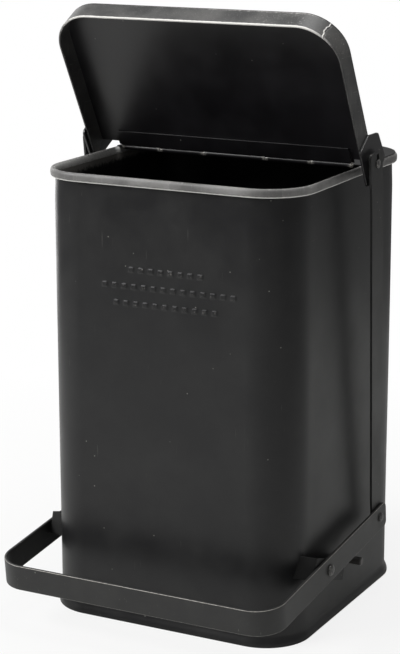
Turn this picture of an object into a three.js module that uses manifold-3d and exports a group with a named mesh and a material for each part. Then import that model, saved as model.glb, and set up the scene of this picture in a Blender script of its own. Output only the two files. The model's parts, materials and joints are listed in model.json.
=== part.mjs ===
// Pedal trash can of black lacquered sheet steel: an upright casing, a half lid on a long butt hinge,
// and a U-shaped pedal band whose two arms push a lift rod up each side of the casing to the lid.
// Millimetres. +X is the object's right seen from its front, +Y the back, +Z up, floor at z = 0.
import * as THREE from 'three';
import { mergeVertices } from 'three/addons/utils/BufferGeometryUtils.js';
import Module from 'manifold-3d';

const wasm = await Module();
wasm.setup();

// Casing
const casingWidth = 260;
const casingDepth = 266.6;
const casingHeight = 431.2;
const casingCorner = 43;
const sheet = 1.2;
const shellFoot = 1;
const baseHeight = 6;
const cornerSteps = 10;

// Rolled rim and foot of the casing
const rimHeight = 8.4;
const rimProud = 4;
const footHeight = 11;
const footProud = 2.8;

// Fixed plate that closes the back half of the mouth
const rearPlateThick = 1;
const rearPlateOverhang = 2.2;

// Butt hinge across the mouth
const hingeY = 16;
const hingeAboveRim = 0.8;
const knuckleRadius = 2.6;
const hingePinRadius = 1.3;
const hingeRunning = 0.08;
const hingeFromSide = 7;
const centreKnuckleHalf = 33;
const lidKnuckle = 48;
const knuckleGap = 0.4;
const tongueToBore = 0.4;
const leafThick = 1;
const pinPastKnuckle = 0.5;
const leafReach = 20;

// Lid, drawn closed and then swung up about the hinge
const lidSideOverhang = 15.3;
const lidFrontOverhang = 17.5;
const lidCorner = 39;
const lidTop = 0.9;
const bandHeight = 22.5;
const lidOpening = 61.7;
const turnedGap = 0.3;
const bandTail = 4.5;
const bandTailTop = 10;
const panelNotch = 7;
const panelNotchMargin = 3;
const bandJointWidth = 0.5;
const bandJointDepth = 0.6;
const bandJointTurn = 38;

// Lid lugs, one spot-welded to each side of the lid band, seen from the side: forward of the hinge, above it
const lugOutline = [[-6, -25.8], [34, -25.8], [37.5, -2], [26.5, 18], [-6, 22.4]];
const lugRounding = 5;
const lugThick = 2;

// Pin of each lug, which rides in the slot of the lift rod
const crankRadius = 12.35;
const crankOpenAngle = 25;
const crankPinRadius = 2.5;
const crankCollarRadius = 4.5;
const crankHeadRadius = 4.2;
const crankHeadThick = 1.4;

// Pedal band, drawn level and then tipped nose-down about its pivots
const armGap = 13.6;
const pedalThick = 3;
const pedalHeight = 25;
const pedalReach = 65.9;
const armTail = 14.4;
const pedalCorner = 28;
const pedalRearRounding = 5;
const pivotFromFront = 58.1;
const pivotZ = 65.2;
const pedalThrow = 6.05;
const pivotPinRadius = 3;
const pivotRunning = 0.08;
const pivotHeadRadius = 5.6;
const pivotHeadRise = 3;
const pivotHeadGap = 0.3;
const pivotTailThick = 1.6;

// Bent strap that carries each pedal pivot: a foot riveted on behind, and in front a leg cut to the corner
const bracketWidth = 21.5;
const bracketThick = 2;
const bracketToArm = 0.4;
const bracketFront = 27;
const bracketBack = 43.6;
const bracketLeg = 10;
const bracketFoot = 12;
const bracketFrontLeg = 9;
const bracketFrontRun = 26;
const bracketMitre = 0.45;
const cutGap = 0.3;
const bracketTurn = -17.7;
const footRivetRadius = 3.4;
const footRivetRise = 1.6;

// Stop stud under each arm
const studToPivot = 75.2;
const studRadius = 4;
const studClearance = 0.3;
const studChamfer = 1;
const studPastArm = 0.4;

// Lift rods of flat bar
const rodBarThick = 2.2;
const rodToArm = 0.5;
const armLever = 121.2;
const rodPivotAbove = 1.4;
const rodBottomWidth = 22.4;
const rodTopWidth = 27;
const rodTopRounding = 5;
const rodTopToHinge = 13.2;
const rodTopPastPin = 11.5;
const rodToLug = 3.7;
const rodBottomFlat = 22;
const rodTopFlat = 45;
const slotWidth = 7.8;
const slotAbovePin = 9;
const slotClearance = 0.45;
const slotForward = 0.6;
const slotRounding = 1.2;
const slotSteps = 3;
const rodPinRadius = 2.5;
const rodHeadRadius = 4.6;
const rodHeadRise = 2.4;
const rodTailGap = 0.3;
const rodTailThick = 1.2;

// Three rows of plain dashes pressed out of the front wall
const dashRows = [{ start: -34, count: 8 }, { start: -62, count: 14 }, { start: -50, count: 11 }];
const dashBelowTop = 88.2;
const dashRowSpacing = 16;
const dashPitch = 10.2;
const dashLength = 6.6;
const dashHeight = 5.6;
const dashProud = 0.7;

// How far a cutting solid stands past what it cuts
const overshoot = 1;

const wallSide = casingWidth / 2;
const wallBack = casingDepth / 2;
const hingeZ = casingHeight + hingeAboveRim;
const hingeHalf = wallSide - hingeFromSide;
const plateToHinge = knuckleRadius + knuckleGap;
const lidHalf = wallSide + lidSideOverhang;
const lidReach = hingeY + wallBack + lidFrontOverhang;
const armInner = wallSide + armGap;
const pedalHalf = armInner + pedalThick;
const pedalFront = wallBack + pedalReach;
const pivotY = -wallBack + pivotFromFront;
const studY = pivotY + studToPivot;
const rodPivotY = pivotY + armLever;
const pedalRear = rodPivotY + armTail;
const rodInnerAtFoot = armInner - rodToArm - rodBarThick;
const rodInnerAtTop = lidHalf + lugThick + rodToLug;
const rodLean = rodInnerAtTop - rodInnerAtFoot;
const rodTopY = hingeY - rodTopToHinge;

function finish(name, colour, roughness, metalness) {
  return new THREE.MeshStandardMaterial({ name, color: colour, roughness, metalness });
}

const lacquer = finish('black_lacquer', 0x1b1b1d, 0.32, 0.1);
const wornLacquer = finish('worn_lacquer', 0x6d6a67, 0.42, 0.4);
const hingeSteel = finish('hinge_steel', 0x9a9892, 0.38, 0.9);
const rivetSteel = finish('rivet_steel', 0x4a4a4c, 0.35, 0.7);

// --- solids -------------------------------------------------------------------------------------

// Closed surface from any three.js geometry, ready to be joined or cut.
function solid(geometry) {
  const bare = new THREE.BufferGeometry();
  bare.setAttribute('position', geometry.getAttribute('position').clone());
  if (geometry.index) {
    bare.setIndex(geometry.index.clone());
  }
  const merged = mergeVertices(bare, 1e-5);
  const index = merged.index.array;
  const kept = [];
  for (let i = 0; i < index.length; i += 3) {
    const [a, b, c] = [index[i], index[i + 1], index[i + 2]];
    if (a !== b && b !== c && c !== a) {
      kept.push(a, b, c);
    }
  }
  const vertProperties = new Float32Array(merged.getAttribute('position').array);
  const triVerts = new Uint32Array(kept);
  return new wasm.Manifold(new wasm.Mesh({ numProp: 3, vertProperties, triVerts }));
}

function joined(solids) {
  return solids.reduce((sum, next) => sum.add(next));
}

function piece(name, body, material) {
  const mesh = body.getMesh();
  const geometry = new THREE.BufferGeometry();
  geometry.setAttribute('position', new THREE.BufferAttribute(new Float32Array(mesh.vertProperties), 3));
  geometry.setIndex(new THREE.BufferAttribute(new Uint32Array(mesh.triVerts), 1));
  const flat = geometry.toNonIndexed();
  flat.computeVertexNormals();
  const result = new THREE.Mesh(flat, material.clone());
  result.name = name;
  return result;
}

// Flat outline in X and Y given thickness from z0 to z1.
function standing(points, z0, z1) {
  const shape = new THREE.Shape(points.map(([x, y]) => new THREE.Vector2(x, y)));
  const geometry = new THREE.ExtrudeGeometry(shape, { depth: z1 - z0, bevelEnabled: false });
  geometry.translate(0, 0, z0);
  return solid(geometry);
}

// Flat outline in Y and Z given thickness across X, between the two distances from the middle.
function sideways(points, side, near, far) {
  const shape = new THREE.Shape(points.map(([y, z]) => new THREE.Vector2(y, z)));
  const geometry = new THREE.ExtrudeGeometry(shape, { depth: far - near, bevelEnabled: false });
  const low = Math.min(side * near, side * far);
  const turn = new THREE.Matrix4().makeBasis(
    new THREE.Vector3(0, 1, 0), new THREE.Vector3(0, 0, 1), new THREE.Vector3(1, 0, 0),
  );
  geometry.applyMatrix4(turn);
  geometry.translate(low, 0, 0);
  return solid(geometry);
}

// Flat outline in X and Z given thickness along Y from y0 to y1.
function lengthways(points, y0, y1) {
  const shape = new THREE.Shape(points.map(([x, z]) => new THREE.Vector2(x, z)));
  const geometry = new THREE.ExtrudeGeometry(shape, { depth: y1 - y0, bevelEnabled: false });
  geometry.rotateX(Math.PI / 2);
  geometry.translate(0, y1, 0);
  return solid(geometry);
}

// Round bar along X between two distances from the middle, on the given side.
function roundBar(radius, side, near, far, y, z, steps = 24) {
  const geometry = new THREE.CylinderGeometry(radius, radius, far - near, steps);
  geometry.rotateZ(Math.PI / 2);
  geometry.translate((side * (near + far)) / 2, y, z);
  return solid(geometry);
}

// Domed rivet head along X whose flat side is at the distance near.
function dome(radius, rise, side, near, y, z) {
  const rimPart = rise * 0.25;
  const profile = [new THREE.Vector2(0, 0), new THREE.Vector2(radius, 0), new THREE.Vector2(radius, rimPart)];
  const steps = 5;
  for (let i = 1; i <= steps; i += 1) {
    const turn = (Math.PI / 2) * (i / steps);
    const r = i === steps ? 0 : radius * Math.cos(turn);
    profile.push(new THREE.Vector2(r, rimPart + (rise - rimPart) * Math.sin(turn)));
  }
  const geometry = new THREE.LatheGeometry(profile, 24);
  geometry.rotateZ(-side * Math.PI / 2);
  geometry.translate(side * near, y, z);
  return solid(geometry);
}

// Corner points rounded off, for an outline given as a list of corners and one radius.
function rounded(corners, radius, steps = 5) {
  const result = [];
  corners.forEach((corner, i) => {
    const here = new THREE.Vector2(...corner);
    const before = new THREE.Vector2(...corners[(i + corners.length - 1) % corners.length]).sub(here);
    const after = new THREE.Vector2(...corners[(i + 1) % corners.length]).sub(here);
    const half = Math.acos(before.clone().normalize().dot(after.clone().normalize())) / 2;
    const reach = radius / Math.tan(half);
    const start = here.clone().add(before.setLength(reach));
    const end = here.clone().add(after.setLength(reach));
    const centre = here.clone().add(before.normalize().add(after.normalize()).setLength(radius / Math.sin(half)));
    const from = start.clone().sub(centre).angle();
    let sweep = end.clone().sub(centre).angle() - from;
    if (sweep > Math.PI) {
      sweep -= 2 * Math.PI;
    }
    if (sweep < -Math.PI) {
      sweep += 2 * Math.PI;
    }
    for (let k = 0; k <= steps; k += 1) {
      const angle = from + (sweep * k) / steps;
      result.push([centre.x + radius * Math.cos(angle), centre.y + radius * Math.sin(angle)]);
    }
  });
  return result;
}

// Points round the casing, anticlockwise from above, moved outward by an offset.
function casingPath(offset) {
  const halfX = wallSide + offset;
  const halfY = wallBack + offset;
  const radius = casingCorner + offset;
  const centres = [[1, 1, 0], [-1, 1, 1], [-1, -1, 2], [1, -1, 3]];
  const points = [];
  centres.forEach(([sx, sy, quarter]) => {
    for (let k = 0; k <= cornerSteps; k += 1) {
      const angle = (Math.PI / 2) * (quarter + k / cornerSteps);
      points.push([
        sx * (halfX - radius) + radius * Math.cos(angle),
        sy * (halfY - radius) + radius * Math.sin(angle),
      ]);
    }
  });
  return points;
}

// Points along a bar bent to three sides of a rounded rectangle, from its right end round the front, at
// y = -reach, to its left end.
function bentPath(half, reach, radius, end) {
  const points = [[half, end]];
  [[1, 0], [-1, 1]].forEach(([side, quarter]) => {
    for (let k = 0; k <= cornerSteps; k += 1) {
      const angle = (-Math.PI / 2) * (quarter + k / cornerSteps);
      points.push([side * (half - radius) + radius * Math.cos(angle), radius - reach + radius * Math.sin(angle)]);
    }
  });
  points.push([-half, end]);
  return points;
}

// Closed ring round the casing. The profile is a loop of [offset, height] points, clockwise seen with
// the outside to the right, so that the faces point outward.
function ring(profile) {
  const loops = profile.map(([offset, height]) => casingPath(offset).map(([x, y]) => [x, y, height]));
  const count = loops[0].length;
  const position = loops.flat(2);
  const index = [];
  loops.forEach((loop, i) => {
    const next = (i + 1) % loops.length;
    for (let j = 0; j < count; j += 1) {
      const k = (j + 1) % count;
      const [a, b, c, d] = [i * count + j, i * count + k, next * count + k, next * count + j];
      index.push(a, b, c, a, c, d);
    }
  });
  const geometry = new THREE.BufferGeometry();
  geometry.setAttribute('position', new THREE.Float32BufferAttribute(position, 3));
  geometry.setIndex(index);
  return solid(geometry);
}

// --- casing ---------------------------------------------------------------------------------------

function frontDashes() {
  return dashRows.flatMap(({ start, count }, row) => {
    const z = casingHeight - dashBelowTop - row * dashRowSpacing;
    const starts = Array.from({ length: count }, (_, i) => start + i * dashPitch);
    const flatHalf = wallSide - casingCorner;
    return starts.filter((x) => x > -flatHalf && x + dashLength < flatHalf).map((x) => {
      const corners = [[x, z], [x + dashLength, z], [x + dashLength, z + dashHeight], [x, z + dashHeight]];
      return lengthways(corners, -wallBack - dashProud, -wallBack + sheet / 2);
    });
  });
}

function casingShell() {
  const top = casingHeight - rimHeight;
  const wall = ring([[-sheet, shellFoot], [0, shellFoot], [0, top], [-sheet, top]]);
  return piece('casing_shell', joined([wall, ...frontDashes()]), lacquer);
}

function rimBead() {
  const top = casingHeight;
  const bottom = casingHeight - rimHeight;
  return piece('rim_bead', ring([
    [-sheet, bottom],
    [rimProud * 0.4, bottom],
    [rimProud * 0.82, bottom + rimHeight * 0.15],
    [rimProud, bottom + rimHeight * 0.4],
    [rimProud, top - rimHeight * 0.4],
    [rimProud * 0.82, top - rimHeight * 0.15],
    [rimProud * 0.4, top],
    [-sheet * 0.3, top],
    [-sheet, top - sheet * 0.7],
  ]), wornLacquer);
}

function footBead() {
  return piece('foot_bead', ring([
    [0, 0],
    [footProud * 0.7, 0],
    [footProud, footHeight * 0.15],
    [footProud, footHeight * 0.6],
    [footProud * 0.5, footHeight * 0.88],
    [0, footHeight],
  ]), lacquer);
}

function basePlate() {
  return piece('base_plate', standing(casingPath(-sheet), baseHeight, baseHeight + sheet), lacquer);
}

// Back part of the casing's outline, from the hinge to the back wall.
function rearTopPlate() {
  const front = hingeY + plateToHinge;
  const outline = casingPath(rearPlateOverhang).filter(([, y]) => y > front);
  const half = wallSide + rearPlateOverhang;
  outline.push([-half, front], [half, front]);
  return piece('rear_top_plate', standing(outline, casingHeight, casingHeight + rearPlateThick), lacquer);
}

// --- hinge ----------------------------------------------------------------------------------------

// Knuckles of one leaf, each a barrel between two places across the width.
function knuckles(spans, y, z) {
  const barrels = spans.map(([from, to]) => roundBar(knuckleRadius, 1, from, to, y, z, 20));
  const boreHalf = hingeHalf + overshoot;
  const bore = roundBar(hingePinRadius + hingeRunning, 1, -boreHalf, boreHalf, y, z, 20);
  return joined(barrels).subtract(bore);
}

const firstBreak = centreKnuckleHalf;
const secondBreak = centreKnuckleHalf + lidKnuckle;
const halfGap = knuckleGap / 2;
const casingKnuckles = [
  [-hingeHalf, -secondBreak - halfGap],
  [-firstBreak + halfGap, firstBreak - halfGap],
  [secondBreak + halfGap, hingeHalf],
];
const lidKnuckles = [
  [-secondBreak + halfGap, -firstBreak - halfGap],
  [firstBreak + halfGap, secondBreak - halfGap],
];

// One leaf: a strip from the hinge line outward, cut away beside the other leaf's knuckles, and a
// tongue from the strip into each of its own knuckles. The direction is +1 for back, -1 for front.
function hingeLeaf(name, spans, direction, y, z, leafTop) {
  const clear = knuckleRadius + knuckleGap;
  const stripNear = y + direction * clear;
  const stripFar = y + direction * leafReach;
  const tongueNear = y + direction * (hingePinRadius + hingeRunning + tongueToBore);
  const bottom = leafTop - leafThick;
  const box = (x0, x1, y0, y1) => standing([[x0, y0], [x1, y0], [x1, y1], [x0, y1]], bottom, leafTop);
  const strip = box(-hingeHalf, hingeHalf, stripNear, stripFar);
  const tongues = spans.map(([from, to]) => box(from, to, tongueNear, stripFar));
  return piece(name, joined([knuckles(spans, y, z), strip, ...tongues]), hingeSteel);
}

function hingePin() {
  const half = hingeHalf + pinPastKnuckle;
  const pin = roundBar(hingePinRadius, 1, -half, half, hingeY, hingeZ, 20);
  return piece('hinge_pin', pin, hingeSteel);
}

// --- lid ------------------------------------------------------------------------------------------

// The lid's three closed sides, moved inward, with the hinge at y = 0 and both ends at the given place.
function lidPath(inset, end) {
  return bentPath(lidHalf - inset, lidReach - inset, lidCorner - inset, end);
}

function lidPanel() {
  const outline = lidPath(0, -panelNotch);
  const inner = hingeHalf + panelNotchMargin;
  outline.push([-inner, -panelNotch], [-inner, -plateToHinge], [inner, -plateToHinge], [inner, -panelNotch]);
  return piece('lid_panel', standing(outline, lidTop - sheet, lidTop), lacquer);
}

function lidBand() {
  const top = lidTop - sheet - turnedGap;
  const bottom = lidTop - bandHeight;
  const outline = [...lidPath(0, bandTail), ...lidPath(sheet, bandTail).reverse()];
  const strip = standing(outline, bottom, top);
  const pastEnd = bandTail + overshoot;
  const pastTop = lidTop + overshoot;
  const wedge = [[-bandTailTop, pastTop], [bandTail, bottom], [pastEnd, bottom], [pastEnd, pastTop]];
  const tails = sideways(wedge, 1, -lidHalf - overshoot, lidHalf + overshoot);
  const joint = new THREE.BoxGeometry(lidCorner, bandJointWidth, bandHeight * 2);
  joint.translate(lidCorner + lidCorner / 2 - bandJointDepth, 0, 0);
  joint.rotateZ(THREE.MathUtils.degToRad(-bandJointTurn));
  joint.translate(lidHalf - lidCorner, -lidReach + lidCorner, 0);
  return piece('lid_band', strip.subtract(tails).subtract(solid(joint)), wornLacquer);
}

// Where the lug's pin stands in the closed lid's frame: [forward of the hinge, above it].
function crankPlace() {
  const angle = THREE.MathUtils.degToRad(crankOpenAngle - lidOpening);
  return [crankRadius * Math.cos(angle), crankRadius * Math.sin(angle)];
}

function lidLug(side, name) {
  const outline = rounded(lugOutline, lugRounding).map(([forward, up]) => [-forward, up]);
  const [forward, up] = crankPlace();
  const plate = sideways(outline, side, lidHalf, lidHalf + lugThick);
  const outer = lidHalf + lugThick + overshoot;
  const hole = roundBar(crankPinRadius, side, lidHalf - overshoot, outer, -forward, up);
  return piece(`lid_lug_${name}`, plate.subtract(hole), lacquer);
}

// Stub pin riveted into the lug, with a collar that keeps the rod off the lug and a head beyond the rod.
function crankPin(side, name) {
  const [forward, up] = crankPlace();
  const lugOuter = lidHalf + lugThick;
  const rodInner = rodInnerAtTop - slotClearance;
  const rodOuter = rodInnerAtTop + rodBarThick + slotClearance;
  const body = joined([
    roundBar(crankPinRadius, side, lidHalf, rodOuter, -forward, up),
    roundBar(crankCollarRadius, side, lugOuter, rodInner, -forward, up),
    roundBar(crankHeadRadius, side, rodOuter, rodOuter + crankHeadThick, -forward, up),
  ]);
  return piece(`crank_pin_${name}`, body, rivetSteel);
}

function lid() {
  const group = new THREE.Group();
  group.name = 'lid';
  group.add(lidPanel());
  group.add(lidBand());
  group.add(hingeLeaf('hinge_leaf_lid', lidKnuckles, -1, 0, 0, lidTop - sheet - turnedGap));
  group.add(lidLug(1, 'right'));
  group.add(lidLug(-1, 'left'));
  group.add(crankPin(1, 'right'));
  group.add(crankPin(-1, 'left'));
  group.position.set(0, hingeY, hingeZ);
  group.rotation.x = -THREE.MathUtils.degToRad(lidOpening);
  return group;
}

// --- pedal ----------------------------------------------------------------------------------------

function pedalPath(inset) {
  return bentPath(pedalHalf - inset, pedalFront - inset, pedalCorner - inset, pedalRear);
}

function pedalBand() {
  const outline = [...pedalPath(0), ...pedalPath(pedalThick).reverse()];
  const half = pedalHeight / 2;
  const bar = standing(outline.map(([x, y]) => [x, y - pivotY]), -half, half);
  const front = -pedalFront - pivotY - pedalRearRounding * 2;
  const back = pedalRear - pivotY;
  const profile = rounded([[front, -half], [back, -half], [back, half], [front, half]], pedalRearRounding);
  const reach = pedalHalf + overshoot;
  const pivotHole = roundBar(pivotPinRadius + pivotRunning, 1, -reach, reach, 0, 0);
  const rodHole = roundBar(rodPinRadius + pivotRunning, 1, -reach, reach, rodPivotY - pivotY, rodPivotAbove);
  const body = bar.intersect(sideways(profile, 1, -reach, reach)).subtract(pivotHole).subtract(rodHole);
  return piece('pedal_band', body, wornLacquer);
}

// Rivet through the arm and the top of the lift rod's lower end: a domed head outside, a small one inside.
function rodRivet(side, name) {
  const y = rodPivotY - pivotY;
  const tail = rodInnerAtFoot - rodTailGap;
  const body = joined([
    roundBar(rodPinRadius, side, tail, pedalHalf, y, rodPivotAbove),
    roundBar(rodHeadRadius, side, tail - rodTailThick, tail, y, rodPivotAbove),
    dome(rodHeadRadius, rodHeadRise, side, pedalHalf, y, rodPivotAbove),
  ]);
  return piece(`rod_rivet_${name}`, body, rivetSteel);
}

function pedal() {
  const group = new THREE.Group();
  group.name = 'pedal';
  group.add(pedalBand());
  group.add(rodRivet(1, 'right'));
  group.add(rodRivet(-1, 'left'));
  group.position.set(0, pivotY, pivotZ);
  group.rotation.x = THREE.MathUtils.degToRad(pedalThrow);
  return group;
}

// Bent strap, drawn level about the pivot: an outer face beside the arm, a leg and a riveted foot at the
// back, and at the front a leg that runs in to the casing's rounded corner and is cut to its curve.
function pivotBracket(side, name) {
  const outer = armInner - bracketToArm;
  const t = bracketThick;
  const back = bracketBack;
  const front = -bracketFront;
  const wall = wallSide;
  const footStart = back + bracketLeg;
  const footEnd = footStart + bracketFoot;
  const mitre = t * bracketMitre;
  const legEnd = outer - bracketFrontRun;
  const outline = [
    [outer, front], [outer, back], [wall + t, footStart], [wall + t, footEnd], [wall, footEnd],
    [wall, footStart - mitre], [outer - t, back - mitre], [outer - t, front + mitre],
    [legEnd, front - bracketFrontLeg + t], [legEnd, front - bracketFrontLeg],
  ].map(([x, y]) => [side * x, y]);
  const half = bracketWidth / 2;
  const hole = roundBar(pivotPinRadius + pivotRunning, side, outer - t - overshoot, outer + overshoot, 0, 0);
  const group = new THREE.Group();
  group.name = `bracket_${name}`;
  group.position.set(0, pivotY, pivotZ);
  group.rotation.x = THREE.MathUtils.degToRad(bracketTurn);
  group.updateMatrix();
  const casing = frontCorners(group.matrix.clone().invert());
  const strap = standing(outline, -half, half).subtract(hole).subtract(casing);
  group.add(piece(`pivot_bracket_${name}`, strap, lacquer));
  const head = dome(footRivetRadius, footRivetRise, side, wall + t, (footStart + footEnd) / 2, 0);
  group.add(piece(`bracket_rivet_${name}`, head, rivetSteel));
  return group;
}

// Solid block as wide as the casing in front of its flat sides, with a gap round it, in another frame.
function frontCorners(matrix) {
  const flatEnd = -wallBack + casingCorner;
  const outline = casingPath(cutGap).filter(([, y]) => y < flatEnd);
  const geometry = new THREE.ExtrudeGeometry(
    new THREE.Shape(outline.map(([x, y]) => new THREE.Vector2(x, y))),
    { depth: casingHeight, bevelEnabled: false },
  );
  geometry.applyMatrix4(matrix);
  return solid(geometry);
}

// Rivet fast in the bracket, on which the arm turns, with a domed head outside the arm.
function pivotRivet(side, name) {
  const strapInner = armInner - bracketToArm - bracketThick;
  const head = pedalHalf + pivotHeadGap;
  const tailRadius = pivotPinRadius + pivotTailThick;
  const body = joined([
    roundBar(pivotPinRadius, side, strapInner, head, pivotY, pivotZ),
    roundBar(tailRadius, side, strapInner - pivotTailThick, strapInner, pivotY, pivotZ),
    dome(pivotHeadRadius, pivotHeadRise, side, head, pivotY, pivotZ),
  ]);
  return piece(`pivot_rivet_${name}`, body, rivetSteel);
}

// Short stud on the casing that the arm comes down on when the pedal is let go.
function stopStud(side, name) {
  const z = pivotZ - pedalHeight / 2 - studRadius - studClearance;
  const studEnd = pedalHalf + studPastArm;
  const body = joined([
    roundBar(studRadius, side, wallSide, studEnd - studChamfer, studY, z),
    roundBar(studRadius - studChamfer, side, wallSide, studEnd, studY, z),
  ]);
  return piece(`stop_stud_${name}`, body, rivetSteel);
}

// --- lift rods ------------------------------------------------------------------------------------

// Where the rod's lower pivot stands with the pedal tipped: [y, z].
function rodFoot() {
  const turn = THREE.MathUtils.degToRad(pedalThrow);
  const dy = rodPivotY - pivotY;
  return [
    pivotY + dy * Math.cos(turn) - rodPivotAbove * Math.sin(turn),
    pivotZ + dy * Math.sin(turn) + rodPivotAbove * Math.cos(turn),
  ];
}

// Where the lug's pin stands with the lid up: [y, z].
function raisedPin() {
  const angle = THREE.MathUtils.degToRad(crankOpenAngle);
  return [hingeY - crankRadius * Math.cos(angle), hingeZ + crankRadius * Math.sin(angle)];
}

// Flat bar drawn upright from its lower pivot, leaning outward between two flats, slotted near the top.
function liftRod(side, name) {
  const [footY, footZ] = rodFoot();
  const [pinY, pinZ] = raisedPin();
  const tilt = Math.atan2(footY - rodTopY, pinZ - footZ);
  const across = (y, z) => (y - footY) * Math.cos(tilt) + (z - footZ) * Math.sin(tilt);
  const along = (y, z) => -(y - footY) * Math.sin(tilt) + (z - footZ) * Math.cos(tilt);
  const slotY = across(pinY, pinZ) - slotForward;
  const slotZ = along(pinY, pinZ);
  const top = slotZ + rodTopPastPin;
  const lowHalf = rodBottomWidth / 2;
  const topHalf = rodTopWidth / 2;
  const outline = rounded(
    [[-lowHalf, -lowHalf], [lowHalf, -lowHalf], [topHalf, top], [-topHalf, top]], rodTopRounding,
  );
  const inner = rodInnerAtFoot;
  const low = -lowHalf - overshoot;
  const high = top + overshoot;
  const bends = [[0, low], [0, rodBottomFlat], [rodLean, top - rodTopFlat], [rodLean, high]];
  const profile = [
    ...bends.map(([x, z]) => [side * (inner + x), z]),
    ...bends.map(([x, z]) => [side * (inner + rodBarThick + x), z]).reverse(),
  ];
  const bar = lengthways(profile, -topHalf - overshoot, topHalf + overshoot);
  const [cutNear, cutFar] = [inner - overshoot, inner + rodLean + rodBarThick + overshoot];
  const flat = sideways(outline, side, cutNear, cutFar);
  const slotHalf = slotWidth / 2;
  const slotLow = slotZ - crankPinRadius - slotClearance;
  const slotHigh = slotZ + slotAbovePin;
  const slotCorners = [[-slotHalf, slotLow], [slotHalf, slotLow], [slotHalf, slotHigh], [-slotHalf, slotHigh]];
  const slot = rounded(slotCorners, slotRounding, slotSteps).map(([y, z]) => [y + slotY, z]);
  const slotCut = sideways(slot, side, cutNear, cutFar);
  const hole = roundBar(rodPinRadius + pivotRunning, side, cutNear, cutFar, 0, 0);
  const result = piece(`lift_rod_${name}`, bar.intersect(flat).subtract(slotCut).subtract(hole), lacquer);
  result.position.set(0, footY, footZ);
  result.rotation.x = tilt;
  return result;
}

// --- whole object -----------------------------------------------------------------------------------

const can = new THREE.Group();
can.name = 'pedal_trash_can';
can.add(casingShell());
can.add(rimBead());
can.add(footBead());
can.add(basePlate());
can.add(rearTopPlate());
can.add(hingeLeaf('hinge_leaf_casing', casingKnuckles, 1, hingeY, hingeZ, casingHeight));
can.add(hingePin());
can.add(lid());
can.add(pedal());
[[1, 'right'], [-1, 'left']].forEach(([side, name]) => {
  can.add(pivotBracket(side, name));
  can.add(pivotRivet(side, name));
  can.add(stopStud(side, name));
  can.add(liftRod(side, name));
});

// The origin is under the middle of the whole object's box.
can.updateMatrixWorld(true);
const box = new THREE.Box3().setFromObject(can, true);
can.position.y = -(box.min.y + box.max.y) / 2;

export default can;
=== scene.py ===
# Black lacquered pedal trash can, standing open with its pedal down, on a pale studio floor.
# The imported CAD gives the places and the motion; the sheet metal that shows is worked out here.
# Numbers are millimetres unless a note says otherwise; makePiece turns them to metres.
import json
import math

import bmesh
import bpy
import numpy as np
from mathutils import Matrix, Vector


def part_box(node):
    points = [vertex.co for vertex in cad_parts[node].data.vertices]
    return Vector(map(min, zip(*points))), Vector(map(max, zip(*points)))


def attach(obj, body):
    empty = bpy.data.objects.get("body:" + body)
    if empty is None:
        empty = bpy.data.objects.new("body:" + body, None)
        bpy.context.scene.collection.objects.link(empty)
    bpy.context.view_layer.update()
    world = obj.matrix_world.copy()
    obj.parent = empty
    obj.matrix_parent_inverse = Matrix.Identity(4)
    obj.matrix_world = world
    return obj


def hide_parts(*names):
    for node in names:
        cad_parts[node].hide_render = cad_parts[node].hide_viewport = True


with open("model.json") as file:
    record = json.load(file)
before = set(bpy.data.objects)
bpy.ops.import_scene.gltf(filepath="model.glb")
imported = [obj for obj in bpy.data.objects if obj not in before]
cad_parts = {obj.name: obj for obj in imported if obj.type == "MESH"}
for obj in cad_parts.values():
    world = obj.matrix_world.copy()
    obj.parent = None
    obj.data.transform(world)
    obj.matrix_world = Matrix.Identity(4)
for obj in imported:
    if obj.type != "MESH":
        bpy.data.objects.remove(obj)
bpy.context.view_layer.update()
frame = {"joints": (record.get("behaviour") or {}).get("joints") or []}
mm = 0.001
sides = (("right", 1), ("left", -1))


def boxOf(node):
    low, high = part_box(node)
    return np.array(low) / mm, np.array(high) / mm


anchors = {joint["name"]: np.array(joint["pos_m"]) / mm for joint in frame["joints"]}
hingeAt = anchors["lid_hinge"]
pedalAt = anchors["pedal_pivot"]

pose = {
    "lidTurn": -61.7,  # degrees about x, from shut
    "pedalTurn": 6.05,  # from level
    "bracketTurn": -17.7,
    "rodTurn": 6.7536,  # lean of the lift rods towards the front
}

# the camera stands in front of the right corner, a little above the rim
cameraSetup = {
    "azimuth": 27.65,
    "elevation": 14.12,
    "roll": -0.11,
    "distance": 1.923,  # metres
    "aim": (-0.0132, 0.0, 0.2710),
    "lens": 109.86,
}


def placeCamera(setup):
    turn, rise = math.radians(setup["azimuth"]), math.radians(setup["elevation"])
    back = Vector((math.sin(turn) * math.cos(rise), -math.cos(turn) * math.cos(rise),
                   math.sin(rise)))
    right = Vector((math.cos(turn), math.sin(turn), 0))
    axes = Matrix((right, back.cross(right), back)).transposed()
    axes = axes @ Matrix.Rotation(math.radians(setup["roll"]), 3, "Z")
    data = bpy.data.cameras.new("studioCamera")
    data.lens = setup["lens"]
    camera = bpy.data.objects.new("studioCamera", data)
    place = Vector(setup["aim"]) + back * setup["distance"]
    camera.matrix_world = Matrix.Translation(place) @ axes.to_4x4()
    bpy.context.scene.collection.objects.link(camera)
    bpy.context.scene.camera = camera


placeCamera(cameraSetup)
print("camera placed")


def linear(code):
    # sRGB hex to linear light: each channel over 255, then the standard curve
    parts = [int(code[i:i + 2], 16) / 255 for i in (1, 3, 5)]
    return tuple(p / 12.92 if p <= 0.04045 else ((p + 0.055) / 1.055) ** 2.4
                 for p in parts) + (1.0,)


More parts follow.
